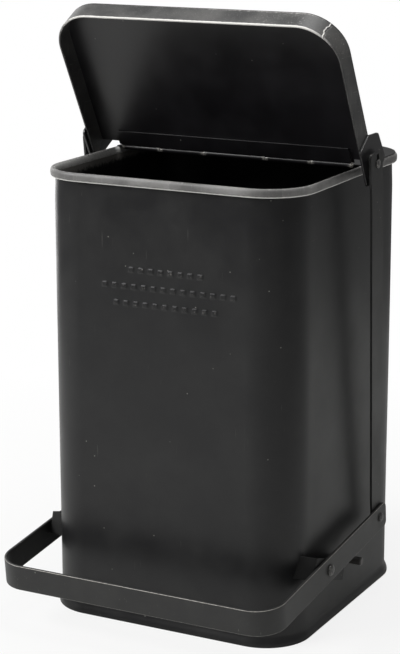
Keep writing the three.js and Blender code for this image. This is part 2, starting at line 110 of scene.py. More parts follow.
def addNode(tree, kind, settings=None, links=None):
    # one node: a setting is an input's value or the node's own option, a link is (node, output)
    node = tree.nodes.new("ShaderNode" + kind)
    for key, value in (settings or {}).items():
        if isinstance(key, int) or key in node.inputs:
            node.inputs[key].default_value = value
        else:
            setattr(node, key, value)
    for key, (source, output) in (links or {}).items():
        tree.links.new(source.outputs[output], node.inputs[key])
    return node


def mathNode(tree, operation, *inputs):
    # each input is a number, or the (node, output) that feeds it
    settings, links = {"operation": operation}, {}
    for place, value in enumerate(inputs):
        (links if isinstance(value, tuple) else settings)[place] = value
    return addNode(tree, "Math", settings, links), 0


def ranged(tree, source, span, onto=(0.0, 1.0)):
    # carried from one span onto another, held at the ends
    return addNode(tree, "MapRange", {
        "From Min": span[0], "From Max": span[1], "To Min": onto[0], "To Max": onto[1]},
        {"Value": source}), 0


def noise(tree, place, scale, detail, roughness=0.5):
    return addNode(tree, "TexNoise", {
        "Scale": scale, "Detail": detail, "Roughness": roughness}, {"Vector": place}), 0


def perMetre(size):
    return 1 / (size * mm)     # texture scale whose features are about this many millimetres


# a white sweep, a large key panel at the front left, and two weaker panels above and behind
studio = {
    "seen": "#ffffff",         # the paper behind the can
    "room": 0.20,  # the dim room that the lacquer mirrors
    "floor": "#d9d9d7",
    "floorReach": 1.25,  # metres
    "floorGlow": 0.84,  # share of its white that no shadow dims, near the can
    "floorBounce": 0.05,  # the same share as the lacquer sees it
    "floorFade": (0.30, 0.85), # metres from the middle over which the floor clears to white
    "panels": (  # name, place, aim, width and height in metres, watts
        ("keyPanel", (-1.7, -1.5, 1.75), (0.0, 0.0, 0.2), 1.5, 1.3, 64),
        ("overheadPanel", (0.15, 0.0, 2.3), (0.0, 0.0, 0.4), 1.5, 1.2, 28),
        ("leftRearPanel", (-1.6, 1.0, 0.6), (0.0, 0.0, 0.25), 0.6, 1.6, 7),
    ),
}


def softPanel(name, place, aim, width, height, watts):
    light = bpy.data.lights.new(name, "AREA")
    light.shape, light.size, light.size_y, light.energy = "RECTANGLE", width, height, watts
    panel = bpy.data.objects.new(name, light)
    turn = (Vector(aim) - Vector(place)).to_track_quat("-Z", "Y").to_matrix().to_4x4()
    panel.matrix_world = Matrix.Translation(place) @ turn
    bpy.context.scene.collection.objects.link(panel)


def buildStudio(setup):
    world = bpy.data.worlds.new("paleStudio")
    bpy.context.scene.world = world
    world.use_nodes = True
    tree = world.node_tree
    tree.nodes.clear()
    seen = linear(setup["seen"])
    room = addNode(tree, "Background", {"Color": seen, "Strength": setup["room"]})
    paper = addNode(tree, "Background", {"Color": seen})
    path = addNode(tree, "LightPath")
    mixed = addNode(tree, "MixShader", {}, {
        0: (path, "Is Camera Ray"), 1: (room, "Background"), 2: (paper, "Background")})
    addNode(tree, "OutputWorld", {}, {"Surface": (mixed, "Shader")})
    for panel in setup["panels"]:
        softPanel(*panel)
    reach = setup["floorReach"]
    mesh = bpy.data.meshes.new("studioFloor")
    corners = [(-reach, -reach, 0), (reach, -reach, 0), (reach, reach, 0), (-reach, reach, 0)]
    mesh.from_pydata(corners, [], [(0, 1, 2, 3)])
    floor = bpy.data.objects.new("studioFloor", mesh)
    bpy.context.scene.collection.objects.link(floor)
    pale = bpy.data.materials.new("paleFloor")
    pale.use_nodes = True
    tree = pale.node_tree
    tree.nodes.clear()
    matt = addNode(tree, "BsdfDiffuse", {"Color": linear(setup["floor"])})
    glow = addNode(tree, "Emission", {"Color": seen})
    path = addNode(tree, "LightPath")
    place = addNode(tree, "TexCoord")
    away = addNode(tree, "VectorMath", {"operation": "LENGTH"}, {0: (place, "Object")})
    # glowing share: the bounce alone as the lacquer sees it, glow rising to 1 as the camera does
    bounce = setup["floorBounce"]
    clear = ranged(tree, (away, "Value"), setup["floorFade"],
                   (setup["floorGlow"] - bounce, 1 - bounce))
    share = mathNode(tree, "MULTIPLY_ADD", clear, (path, "Is Camera Ray"), bounce)
    mixed = addNode(tree, "MixShader", {}, {0: share, 1: (matt, 0), 2: (glow, 0)})
    addNode(tree, "OutputMaterial", {}, {"Surface": (mixed, 0)})
    mesh.materials.append(pale)


buildStudio(studio)
bpy.context.scene.view_settings.view_transform = "Standard"
print("studio lit")

# Stoved black lacquer over sheet steel: a thin glossy film that lies over the rolled metal's faint
# waviness. It gives the eye deep black with soft reflections, a dull haze from handling, hairline
# scratches, pale specks, and grey metal where edges have rubbed through. The same pale colour is
# also laid on as painted highlight and painted light, on the rim, the lid band and the casing's
# inside and dashes. In each look hazeRough is what haze adds to rough; rubbed (which also sets
# where the painted highlights start), speck and scratch are thresholds, so a higher one marks less.
lacquerLooks = {
    "casingLacquer": dict(
        film="#1d1d1e", haze="#2b2b2b", bare="#a8a5a0", rough=0.30, hazeRough=0.12, metal=0.6,
        hazeAmount=0.6, rubbed=0.60, rubGrain=0.7, speck=0.84, scratch=0.78, gloss=0.34),
    # rim: light grey film and haze and a pale, dull bare colour, painted highlight on a rim of the
    # same black lacquer as the wall, with some real rubbing
    "rimLacquerPaintedHighlight": dict(
        film="#636261", haze="#939290", bare="#e2e1de", rough=0.42, hazeRough=0.18, metal=0.1,
        hazeAmount=0.9, rubbed=0.38, rubGrain=0.55, speck=0.75, scratch=0.70, gloss=0.5),
    # band: lighter film and haze than the lid panel it is folded from, painted highlight as well as
    # handling haze
    "bandLacquerPaintedHighlight": dict(
        film="#363636", haze="#62615f", bare="#e0deda", rough=0.38, hazeRough=0.16, metal=0.3,
        hazeAmount=0.9, rubbed=0.52, rubGrain=0.5, speck=0.80, scratch=0.70, gloss=0.6),
    "lidLacquer": dict(
        film="#19181a", haze="#28272a", bare="#8f8c87", rough=0.30, hazeRough=0.10, metal=0.6,
        hazeAmount=0.5, rubbed=0.60, rubGrain=0.6, speck=0.86, scratch=0.80, gloss=0.50),
    "pedalLacquer": dict(
        film="#262626", haze="#363635", bare="#b1aea8", rough=0.36, hazeRough=0.14, metal=0.5,
        hazeAmount=0.6, rubbed=0.46, rubGrain=0.35, speck=0.86, scratch=0.76, gloss=0.4),
    "rodLacquer": dict(
        film="#222222", haze="#323231", bare="#a5a29c", rough=0.36, hazeRough=0.14, metal=0.6,
        hazeAmount=0.6, rubbed=0.52, rubGrain=0.3, speck=0.86, scratch=0.76, gloss=0.4),
    # brackets: film darker and duller than the wall's, painted shade for brackets that sit in the
    # pedal's shadow
    "bracketLacquerPaintedShade": dict(
        film="#161616", haze="#232322", bare="#8f8c87", rough=0.42, hazeRough=0.14, metal=0.5,
        hazeAmount=0.5, rubbed=0.62, rubGrain=0.3, speck=0.88, scratch=0.80, gloss=0.25),
    "rivetLacquer": dict(
        film="#2a2a2a", haze="#403e3b", bare="#c6c3bd", rough=0.24, hazeRough=0.12, metal=0.6,
        hazeAmount=0.5, rubbed=0.46, rubGrain=0.5, speck=0.84, scratch=0.74, gloss=0.6),
    # cold-rolled hinge steel under the same film, bare grey metal where the knuckles' ends rub
    "hingeSteel": dict(
        film="#161517", haze="#232225", bare="#c4c1ba", rough=0.32, hazeRough=0.15, metal=0.7,
        hazeAmount=0.6, rubbed=0.50, rubGrain=0.6, speck=0.95, scratch=0.80, gloss=0.48),
}

# what every look shares
filmSkin = {
    "refraction": 1.5,
    "patch": 40,  # haze lies in patches of this size
    "hazeRange": (0.38, 0.72),
    "dullRange": (0.30, 0.75),
    "peel": 1.6,  # orange peel of the lacquer
    "grain": 2.5,  # grain of the rub marks
    "hairlines": (  # slant, and drawn-out length along each axis, metres
        ((0.5, 0.7, 0.2), (0.0006, 0.0006, 0.030)),
        ((-0.9, 0.25, 1.1), (0.0005, 0.022, 0.0005)),
    ),
    "hairlineSoft": 0.08,
    "hairlineShare": 0.35,
    "net": 9,  # cells that may each hold a speck
    "spot": (0.085, 0.045),  # outer and inner radius of a speck, in cells
    "spotShare": 0.5,
    "rubSoft": 0.3,
    "markRough": 0.12,  # what a mark adds to the roughness
    "markDepth": -1.2,  # how far a mark lies below the orange peel
    "relief": 0.35,
    "reliefDepth": 0.00006,  # metres
}


def lacquer(name, look):
    skin = filmSkin
    material = bpy.data.materials.new(name)
    material.use_nodes = True
    tree = material.node_tree
    place = addNode(tree, "TexCoord"), "Object"
    cloud = noise(tree, place, perMetre(skin["patch"]), 5.0, 0.6)
    peel = noise(tree, place, perMetre(skin["peel"]), 2.0)
    fine = noise(tree, place, perMetre(skin["grain"]), 4.0, 0.65)
    hazed = ranged(tree, cloud, skin["hazeRange"], (0.0, look["hazeAmount"]))
    # hairlines: noise drawn out about 50 to 1 along two slants, only its highest crests kept
    lines = []
    for turn, drawn in skin["hairlines"]:
        slant = addNode(tree, "Mapping", {
            "Rotation": turn, "Scale": tuple(1 / length for length in drawn)}, {"Vector": place})
        thread = noise(tree, (slant, "Vector"), 1.0, 1.0)
        crest = look["scratch"], look["scratch"] + skin["hairlineSoft"]
        lines.append(ranged(tree, thread, crest))
    hairline = mathNode(tree, "MAXIMUM", *lines)
    # specks: a round spot in a few of the net's cells
    net = addNode(tree, "TexVoronoi", {"Scale": perMetre(skin["net"])}, {"Vector": place})
    spot = ranged(tree, (net, "Distance"), skin["spot"], (0.0, skin["spotShare"]))
    shade = addNode(tree, "SeparateColor", {}, {0: (net, "Color")})
    chosen = mathNode(tree, "GREATER_THAN", (shade, "Red"), look["speck"])
    speck = mathNode(tree, "MULTIPLY", spot, chosen)
    # rubbed edges and painted highlights: the piece's own value of wear and painted light, plus the
    # grain, past a threshold
    wornAndPaintedLight = addNode(tree, "Attribute", {"attribute_name": "wearAndPaintedLight"}), "Fac"
    grainy = mathNode(tree, "MULTIPLY_ADD", fine, look["rubGrain"], -look["rubGrain"] / 2)
    summed = mathNode(tree, "ADD", wornAndPaintedLight, grainy)
    rubAndPaintedLight = ranged(tree, summed, (look["rubbed"], look["rubbed"] + skin["rubSoft"]))
    faint = mathNode(tree, "MULTIPLY", hairline, skin["hairlineShare"])
    marked = mathNode(tree, "MAXIMUM", mathNode(tree, "MAXIMUM", rubAndPaintedLight, speck), faint)
    # film under haze under bare metal, which on some pieces is a painted highlight; rougher and
    # pressed in where it is marked
    dusty = addNode(tree, "Mix", {
        "data_type": "RGBA", 6: linear(look["film"]), 7: linear(look["haze"])}, {0: hazed})
    colour = addNode(tree, "Mix", {"data_type": "RGBA", 7: linear(look["bare"])},
                     {0: marked, 6: (dusty, 2)})
    rough = ranged(tree, cloud, skin["dullRange"],
                   (look["rough"], look["rough"] + look["hazeRough"]))
    height = mathNode(tree, "MULTIPLY_ADD", marked, skin["markDepth"], peel)
    relief = addNode(tree, "Bump", {
        "Strength": skin["relief"], "Distance": skin["reliefDepth"]}, {"Height": height})
    shader = tree.nodes["Principled BSDF"]
    shader.inputs["IOR"].default_value = skin["refraction"]
    shader.inputs["Specular IOR Level"].default_value = look["gloss"]
    for key, (node, output) in {
            "Base Color": (colour, 2), "Normal": (relief, 0),
            "Roughness": mathNode(tree, "MULTIPLY_ADD", marked, skin["markRough"], rough),
            "Metallic": mathNode(tree, "MULTIPLY", rubAndPaintedLight, look["metal"])}.items():
        tree.links.new(node.outputs[output], shader.inputs[key])
    return material


finishes = {name: lacquer(name, look) for name, look in lacquerLooks.items()}
print("finishes mixed")


def smoothStep(start, end, value):
    # 0 before start, 1 after end, 3t^2 - 2t^3 between
    t = np.clip((value - start) / (end - start), 0, 1)
    return t * t * (3 - 2 * t)


def bulge(x, y):
    # 1 in the middle, 0 where x or y reaches 1
    return np.clip(1 - x ** 2, 0, 1) * np.clip(1 - y ** 2, 0, 1)


def roundEnd(radius, left):
    # half width gained at this distance from a rounded end: sqrt(r^2 - (r - d)^2)
    return np.sqrt(np.clip(radius ** 2 - (radius - left) ** 2, 0, None))


def bendPath(corners, radii, gaps, closed=True, arcSteps=8, extraAngles=None):
    # Straight runs joined by arcs. Each corner turns on a circle of its radius; each run is divided
    # about every gap, or at given fractions of its length. Returns the points and the normals on
    # the right hand of the travel, which is outside for an anticlockwise loop.
    corners = np.asarray(corners, float)
    count = len(corners)
    radii = np.broadcast_to(np.asarray(radii, float), count)
    gaps = list(gaps) if isinstance(gaps, (list, tuple)) else [gaps] * count
    arcs = []
    for k in range(count):
        here = corners[k]
        if not closed and k in (0, count - 1):
            arcs.append((here[None], None, here, here))
            continue
        toward = corners[k - 1] - here
        onward = corners[(k + 1) % count] - here
        toward, onward = toward / np.linalg.norm(toward), onward / np.linalg.norm(onward)
        half = math.acos(np.clip(toward @ onward, -1, 1)) / 2
        middle = (toward + onward) / np.linalg.norm(toward + onward)
        centre = here + middle * radii[k] / math.sin(half)
        start, end = (here + v * radii[k] / math.tan(half) for v in (toward, onward))
        first = math.atan2(*(start - centre)[::-1])
        sweep = (math.atan2(*(end - centre)[::-1]) - first + math.pi) % (2 * math.pi) - math.pi
        angles = first + sweep * np.linspace(0, 1, arcSteps + 1)
        if extraAngles and k in extraAngles:
            angles = np.unique(np.concatenate([angles, extraAngles[k]]))[::int(np.sign(sweep))]
        radial = np.stack([np.cos(angles), np.sin(angles)], -1)
        arcs.append((centre + radial * radii[k], radial * np.sign(sweep), start, end))
    points, normals = [], []
    for k in range(count):
        arcPoints, arcNormals, _, end = arcs[k]
        last = not closed and k == count - 1
        run = arcs[(k + 1) % count][2] - end
        length = np.linalg.norm(run)
        side = np.array([run[1], -run[0]]) / max(length, 1e-9)
        if arcNormals is None:
            if last:
                previous = corners[k] - corners[k - 1]
                side = np.array([previous[1], -previous[0]]) / np.linalg.norm(previous)
            arcNormals = side[None]
        points.append(arcPoints)
        normals.append(arcNormals)
        if not last:
            parts = gaps[k]
            if not isinstance(parts, np.ndarray):
                steps = max(int(round(length / parts)), 1)
                parts = np.linspace(0, 1, steps + 1)[1:-1]
            points.append(end + parts[:, None] * run)
            normals.append(np.broadcast_to(side, (len(parts), 2)))
    return np.concatenate(points), np.concatenate(normals)


def loop(corners, radii, gap=2.0, arcSteps=5):
    # closed cross-section, points only, turned anticlockwise first
    corners = np.asarray(corners, float)
    x, y = corners.T
    radii = np.broadcast_to(np.asarray(radii, float), len(corners))
    if np.sum(x * np.roll(y, -1) - np.roll(x, -1) * y) < 0:
        corners, radii = corners[::-1], radii[::-1]
    return bendPath(corners, radii, gap, arcSteps=arcSteps)


def shell(points, wearAndPaintedLight=0.0, wrapRows=True, wrapColumns=True, caps=False):
    # grid of points (rows, columns, 3) to quads; caps close the first and last columns
    rows, columns = points.shape[:2]
    i, j = np.meshgrid(np.arange(rows if wrapRows else rows - 1),
                       np.arange(columns if wrapColumns else columns - 1), indexing="ij")
    below, beside = (i + 1) % rows, (j + 1) % columns
    quads = np.stack([i * columns + j, i * columns + beside,
                      below * columns + beside, below * columns + j], -1)
    faces = quads.reshape(-1, 4).tolist()
    if caps:
        first = np.arange(rows) * columns
        faces += [first.tolist(), (first + columns - 1).tolist()]
    return {"points": points.reshape(-1, 3), "faces": faces,
            "wearAndPaintedLight": np.broadcast_to(wearAndPaintedLight, (rows, columns)).reshape(-1)}


def carried(path, normals, section):
    # for a section point (offset, height): (x, y) = path + normal * offset, z = height
    plan = path[None] + normals[None] * section[:, None, :1]
    height = np.broadcast_to(section[:, None, 1:2], plan.shape[:2] + (1,))
    return np.concatenate([plan, height], -1)


def plate(outline, normals, edge, fills=(0.96, 0.85, 0.7, 0.5, 0.3, 0.1, 0.0)):
    # flat plate: the outline pulled in by each edge row's inset, at that row's height; towards the
    # middle the first and last rows shrink by the fills to one point
    centre = outline.mean(0)
    rings = [np.column_stack([outline - normals * inset, np.full(len(outline), height)])
             for inset, height in edge]

    def shrunk(ring, share):
        return np.column_stack([centre + (ring[:, :2] - centre) * share, ring[:, 2]])

    under = [shrunk(rings[0], share) for share in fills[::-1]]
    over = [shrunk(rings[-1], share) for share in fills]
    return np.stack(under + rings + over)


def turned(profile, centre, side, steps=36):
    # profile point (distance out along x, radius) carried round the x axis through the centre
    profile = np.asarray(profile, float)
    angle = np.linspace(0, 2 * math.pi, steps, endpoint=False)
    distance, radius = profile[:, :1], profile[:, 1:]
    x = np.broadcast_to(centre[0] + side * distance, (len(profile), steps))
    return np.stack([x, centre[1] + radius * np.cos(angle), centre[2] + radius * np.sin(angle)], -1)


dome = {
    "brim": 0.22,  # the straight side's share of the rise
    "chamfer": 0.3,  # the chamfer's share of the brim
    "back": 0.93,  # the flat back's share of the radius
}


def domeProfile(radius, rise, start, steps=9):
    # flat back, short straight side, then a quarter ellipse to the crown
    angle = np.linspace(0, math.pi / 2, steps)
    brim = rise * dome["brim"]
    crown = np.column_stack([start + brim + (rise - brim) * np.sin(angle), radius * np.cos(angle)])
    crown[-1, 1] = 0
    return np.vstack([[start, 0], [start, radius * dome["back"]],
                      [start + brim * dome["chamfer"], radius], crown])


def barProfile(stretches, edge=0.3):
    # turned bar: for each (from, to, radius) a straight side with small chamfered ends
    rows = [[stretches[0][0], 0]]
    for start, end, radius in stretches:
        rows += [[start, radius - edge], [start + edge, radius],
                 [end - edge, radius], [end, radius - edge]]
    return np.array(rows + [[stretches[-1][1], 0]])


def tilted(points, degrees, origin):
    # turn about the x axis, then move: y' = y cos a - z sin a, z' = y sin a + z cos a
    turn = math.radians(degrees)
    y, z = points[..., 1], points[..., 2]
    spun = np.stack([points[..., 0], y * math.cos(turn) - z * math.sin(turn),
                     y * math.sin(turn) + z * math.cos(turn)], -1)
    return spun + np.array([0, origin[1], origin[2]])


def spanOf(node):
    # of a turned node: a centre on the middle plane, its near and far ends, and its radius
    low, high = boxOf(node)
    near, far = sorted((abs(low[0]), abs(high[0])))
    centre = (0, (low[1] + high[1]) / 2, (low[2] + high[2]) / 2)
    return centre, near, far, (high[2] - low[2]) / 2


def turnedShells(centre, side, *profiles):
    return [shell(turned(profile, centre, side), wearAndPaintedLight, wrapRows=False)
            for profile, wearAndPaintedLight in profiles]


def sideways(points, side):
    # a plate drawn flat in (y, z) with its height as the distance out along x
    return np.stack([side * points[..., 2], points[..., 0], points[..., 1]], -1)


meshing = {
    "weld": 2e-6,  # points this close join, metres
    "sliver": 1e-7,  # edges this short are dropped, metres
    "sharp": 38,  # edges that turn further than this stay crisp, degrees
    "bevelFrom": 50,  # and a soft edge is laid on those past this
    "bevelSteps": 2,
}


def makePiece(name, body, finish, shells, replaces, bevel=0.0):
    points = np.concatenate([s["points"] for s in shells]) * mm
    wearAndPaintedLight = np.concatenate([s["wearAndPaintedLight"] for s in shells])
    faces, first = [], 0
    for s in shells:
        faces += [[corner + first for corner in face] for face in s["faces"]]
        first += len(s["points"])
    mesh = bpy.data.meshes.new(name)
    mesh.from_pydata(points.tolist(), [], faces)
    mesh.attributes.new("wearAndPaintedLight", "FLOAT", "POINT").data.foreach_set("value", wearAndPaintedLight.astype(np.float32))
    edit = bmesh.new()
    edit.from_mesh(mesh)
    bmesh.ops.remove_doubles(edit, verts=edit.verts, dist=meshing["weld"])
    bmesh.ops.dissolve_degenerate(edit, edges=edit.edges, dist=meshing["sliver"])
    bmesh.ops.delete(edit, geom=[v for v in edit.verts if not v.link_faces], context="VERTS")
    bmesh.ops.recalc_face_normals(edit, faces=edit.faces)
    edit.to_mesh(mesh)
    edit.free()
    mesh.shade_smooth()
    mesh.set_sharp_from_angle(angle=math.radians(meshing["sharp"]))
    mesh.materials.append(finishes[finish])
    piece = bpy.data.objects.new(name, mesh)
    bpy.context.scene.collection.objects.link(piece)
    if bevel:
        soft = piece.modifiers.new("softEdges", "BEVEL")
        soft.width, soft.segments = bevel * mm, meshing["bevelSteps"]
        soft.limit_method, soft.angle_limit = "ANGLE", math.radians(meshing["bevelFrom"])
    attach(piece, body)
    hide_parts(*replaces)


# the casing: wall of bent sheet, rolled rim and foot, bottom and rear top cover
casing = {
    "corner": 43,
    "sheet": 1.2,
    "rimProud": 4,
    "rows": (56, 58, 16),  # mesh rows below, over and above the dashes
    "insideRows": 30,
    "buckle": 0.16,  # how far the sheet waves in and out
    "calmEnds": 60,  # the waves die out over this height at its ends
    "footWear": 14,  # rubbed this far up from the foot
    "intoRim": 1.6,  # the wall runs on inside the rolled rim
    "wornAndPaintedLight": 10,  # the inside is painted pale this far below the rim, partly wear and partly painted light
    "neck": 0.7,  # how far the wall is drawn in under the rim
    "neckFrom": (34, 10),  # and between which heights below the rim's top
    "dashRows": ((-34, 8), (-62, 14), (-50, 11)),  # first dash and how many
    "dashBelowTop": 88.2,
    "dashSpacing": 16,
    "dashPitch": 10.2,
    "dashLength": 6.6,
    "dashHeight": 5.6,
    "dashProud": 0.7,
    "dashSlope": 1.1,
    "dashMargin": 3,  # fine rows go on this far past the dashes
    "sag": 1.2,  # of the bottom
    "coverBend": 0.6,
    "coverCrown": 0.3,
}

rimLow, rimHigh = boxOf("rim_bead")
shellLow, shellHigh = boxOf("casing_shell")
wallX = rimHigh[0] - casing["rimProud"]
wallY = (rimHigh[1] - rimLow[1]) / 2 - casing["rimProud"]
centreY = (rimHigh[1] + rimLow[1]) / 2


def casingOutline(offset=0.0, frontGap=6.0, gap=6.0, arcSteps=14):
    x, y = wallX + offset, wallY + offset
    corners = [(x, centreY + y), (-x, centreY + y), (-x, centreY - y), (x, centreY - y)]
    return bendPath(corners, casing["corner"] + offset, [gap, gap, frontGap, gap],
                    arcSteps=arcSteps)


def pressedDashes(x, z):
    # height of the dashes: proud times a smooth edge in x times a smooth edge in z, for each dash
    c = casing
    halfHigh, halfLong, slope = c["dashHeight"] / 2, c["dashLength"] / 2, c["dashSlope"]
    height = np.zeros(np.broadcast(x, z).shape)
    for row, (start, count) in enumerate(c["dashRows"]):
        zMiddle = rimHigh[2] - c["dashBelowTop"] - row * c["dashSpacing"] + halfHigh
        up = 1 - smoothStep(halfHigh - slope, halfHigh, abs(z - zMiddle))
        for k in range(count):
            xMiddle = start + k * c["dashPitch"] + halfLong
            across = 1 - smoothStep(halfLong - slope, halfLong, abs(x - xMiddle))
            height = np.maximum(height, up * across)
    return height


def casingShell():
    c = casing
    path, normals = casingOutline(frontGap=0.8)
    bottom, top = shellLow[2], shellHigh[2] + c["intoRim"]
    dashTop = rimHigh[2] - c["dashBelowTop"] + c["dashHeight"] + c["dashMargin"]
    dashLow = dashTop - 2 * c["dashSpacing"] - c["dashHeight"] - 2 * c["dashMargin"]
    ends = (bottom, dashLow, dashTop, top)
    heights = np.unique(np.concatenate([
        np.linspace(*span) for span in zip(ends[:-1], ends[1:], c["rows"])]))
    inside = np.linspace(top, bottom, c["insideRows"])
    section = np.vstack([np.column_stack([np.zeros(len(heights)), heights]),
                         np.column_stack([np.full(len(inside), -c["sheet"]), inside])])
    points = carried(path, normals, section)
    x, y, z = points[..., 0], points[..., 1], points[..., 2]
    calm = smoothStep(bottom, bottom + c["calmEnds"], z) * (
        1 - smoothStep(top - c["calmEnds"], top, z))
    # three long waves that cross each other
    wave = (np.sin(x / 41 + 0.7) * np.cos(z / 67 + 0.4) + 0.6 * np.sin(y / 33 + z / 88)
            + 0.4 * np.sin(x / 23 - z / 51 + 1.9)) * c["buckle"] * calm
    outer = section[:, None, 0] > -c["sheet"] / 2
    front = (normals[None, :, 1] < -0.999)
    dash = np.where(front, pressedDashes(x, z), 0)
    neckLow, neckHigh = (rimHigh[2] - below for below in c["neckFrom"])
    neck = smoothStep(neckLow, neckHigh, z) * c["neck"]
    push = wave + dash * c["dashProud"] * np.where(outer, 1, 0.8) - np.where(outer, neck, 0)
    points[..., :2] += normals[None] * push[..., None]
    # worn outside on the foot; on the dashes partly worn and partly painted glints; inside below
    # the rim partly worn and partly painted light
    wearAndPaintedLight = np.where(outer, 0.56 * dash + 0.25 * (1 - smoothStep(0, c["footWear"], z - bottom)),
                    0.1 + 1.0 * smoothStep(top - c["wornAndPaintedLight"] - 3, top - c["wornAndPaintedLight"], z))
    return shell(points, wearAndPaintedLight)


rim = {
    "steps": 28,
    "power": 0.8,  # below 1 squares the section
    "dent": 0.18,
    "paintedHighlightLine": (305, 16),  # where round the section its lower line is painted pale as a highlight, and how wide
}


def rimRoll():
    # section of the rolled rim: a squarish ellipse, |cos|^power across and |sin|^power up
    t = np.linspace(0, 2 * math.pi, rim["steps"], endpoint=False)
    across = np.sign(np.cos(t)) * abs(np.cos(t)) ** rim["power"]
    up = np.sign(np.sin(t)) * abs(np.sin(t)) ** rim["power"]
    half = (rimHigh[2] - rimLow[2]) / 2
    reach = (casing["rimProud"] + casing["sheet"]) / 2
    section = np.column_stack([casing["rimProud"] - reach + across * reach,
                               rimLow[2] + half + up * half])
    path, normals = casingOutline(gap=3, frontGap=3, arcSteps=20)
    points = carried(path, normals, section)
    dent = rim["dent"] * np.sin(path[:, 0] / 19 + 1) * np.sin(path[:, 1] / 31)
    points[..., 2] += dent[None] * (section[:, None, 1] < rimHigh[2] - half)
    # the pale lower line is a painted highlight along the roll's underside; the inner face is paler
    # partly from wear and partly as painted light; the top is rubbed
    highlightAt, highlightWide = rim["paintedHighlightLine"]
    lowerHighlight = np.exp(-((np.degrees(t) - highlightAt) / highlightWide) ** 2)
    innerFaceWornAndLit = np.clip(-np.cos(t), 0, 1)
    wearAndPaintedLight = 0.22 + 0.14 * np.clip(up, 0, 1) + 0.75 * lowerHighlight + 0.46 * innerFaceWornAndLit
    return shell(points, np.clip(wearAndPaintedLight, 0, 1)[:, None])


foot = {
    "round": 0.9,  # radius of the lower edge
    "inside": -0.6,  # the bead's back lies this far inside the wall's face
    "flareFrom": 2.0,
}


def footRoll():
    low, high = boxOf("foot_bead")
    proud = high[0] - wallX
    # off the wall by proud * (1 - smooth step up the height), over a rounded lower edge
    up = np.linspace(foot["round"], high[2], 18)
    flare = proud * (1 - smoothStep(foot["flareFrom"], high[2], up))
    under = np.radians([0, 30, 60, 90])
    lower = np.column_stack([proud - foot["round"] + foot["round"] * np.sin(under),
                             foot["round"] - foot["round"] * np.cos(under)])
    back = [(foot["inside"], high[2]), (foot["inside"], 0)]
    section = np.vstack([back, lower[:-1], np.column_stack([flare, up])])
    path, normals = casingOutline(gap=3, frontGap=3, arcSteps=20)
    wearAndPaintedLight = 0.25 + 0.3 * (1 - smoothStep(0, 3, section[:, 1])) * (section[:, 0] > proud * 0.6)
    return shell(carried(path, normals, section), wearAndPaintedLight[:, None])


def basePlate():
    low, high = boxOf("base_plate")
    path, normals = casingOutline(offset=-casing["sheet"], arcSteps=10)
    edge = [(0.2, low[2]), (0, low[2] + 0.3), (0, high[2] - 0.3), (0.2, high[2])]
    points = plate(path, normals, edge)
    x, y = points[..., 0] / wallX, (points[..., 1] - centreY) / wallY
    points[..., 2] -= casing["sag"] * bulge(x, y)
    return shell(points, 0.15, wrapRows=False)


def rearTopPlate():
    low, high = boxOf("rear_top_plate")
    x, front, back = high[0], low[1], high[1]
    over = x - wallX + casing["corner"]
    corners = [(x, back), (-x, back), (-x, front), (x, front)]
    bends = [over, over, casing["coverBend"], casing["coverBend"]]
    path, normals = bendPath(corners, bends, 4, arcSteps=14)
    edge = [(0.9, low[2]), (0.3, low[2]), (0, low[2] + 0.3), (0, high[2] - 0.4),
            (0.12, high[2] - 0.12), (0.4, high[2]), (1.2, high[2])]
    points = plate(path, normals, edge)
    rise = np.clip(1 - (points[..., 0] / x) ** 2, 0, 1) * np.clip(
        (points[..., 1] - front) * (back - points[..., 1]) / ((back - front) / 2) ** 2, 0, 1)
    points[..., 2] += casing["coverCrown"] * rise
    wearAndPaintedLight = np.full(len(points), 0.1)
    wearAndPaintedLight[7:14] = [0.3, 0.4, 0.5, 0.55, 0.55, 0.4, 0.15]     # up over the edge
    return shell(points, wearAndPaintedLight[:, None], wrapRows=False)


makePiece("casingWall", "casing", "casingLacquer", [casingShell()],
          ["casing_shell"])
makePiece("rolledRim", "casing", "rimLacquerPaintedHighlight", [rimRoll()], ["rim_bead"])
makePiece("rolledFoot", "casing", "casingLacquer", [footRoll()], ["foot_bead"])
makePiece("bottomPlate", "casing", "casingLacquer", [basePlate()], ["base_plate"])
makePiece("rearTopCover", "casing", "casingLacquer", [rearTopPlate()],
          ["rear_top_plate"])
print("casing made")

# the hinge: five knuckles on one pin, two leaves
hinge = {
    "barrel": 2.6,
    "bore": 1.38,
    "breaks": (33, 81),  # where the knuckles change leaf, each side of the middle
    "gap": 0.4,
    "leafThick": 1,
    "leafReach": 20,
    "leafEdge": 0.3,
    "tongue": (1.9, 1),  # from inside the barrel to this far past the leaf's near edge
    "tongueEdge": 0.2,
    "tongueShort": 0.1,  # shorter than its knuckle at each end
    "edge": 0.25,
    "bareEnd": 4.5,  # the knuckles' ends are rubbed bright this far in
}
leafHalf = boxOf("hinge_leaf_casing")[1][0]


def barrel(start, end):
    # tube with rounded rims: a closed profile of (distance, radius) carried round the pin
    h = hinge
    bore, outer = h["bore"], h["barrel"]
    section, _ = loop([(start, bore), (end, bore), (end, outer), (start, outer)],
                      h["edge"], gap=3, arcSteps=3)
    return section


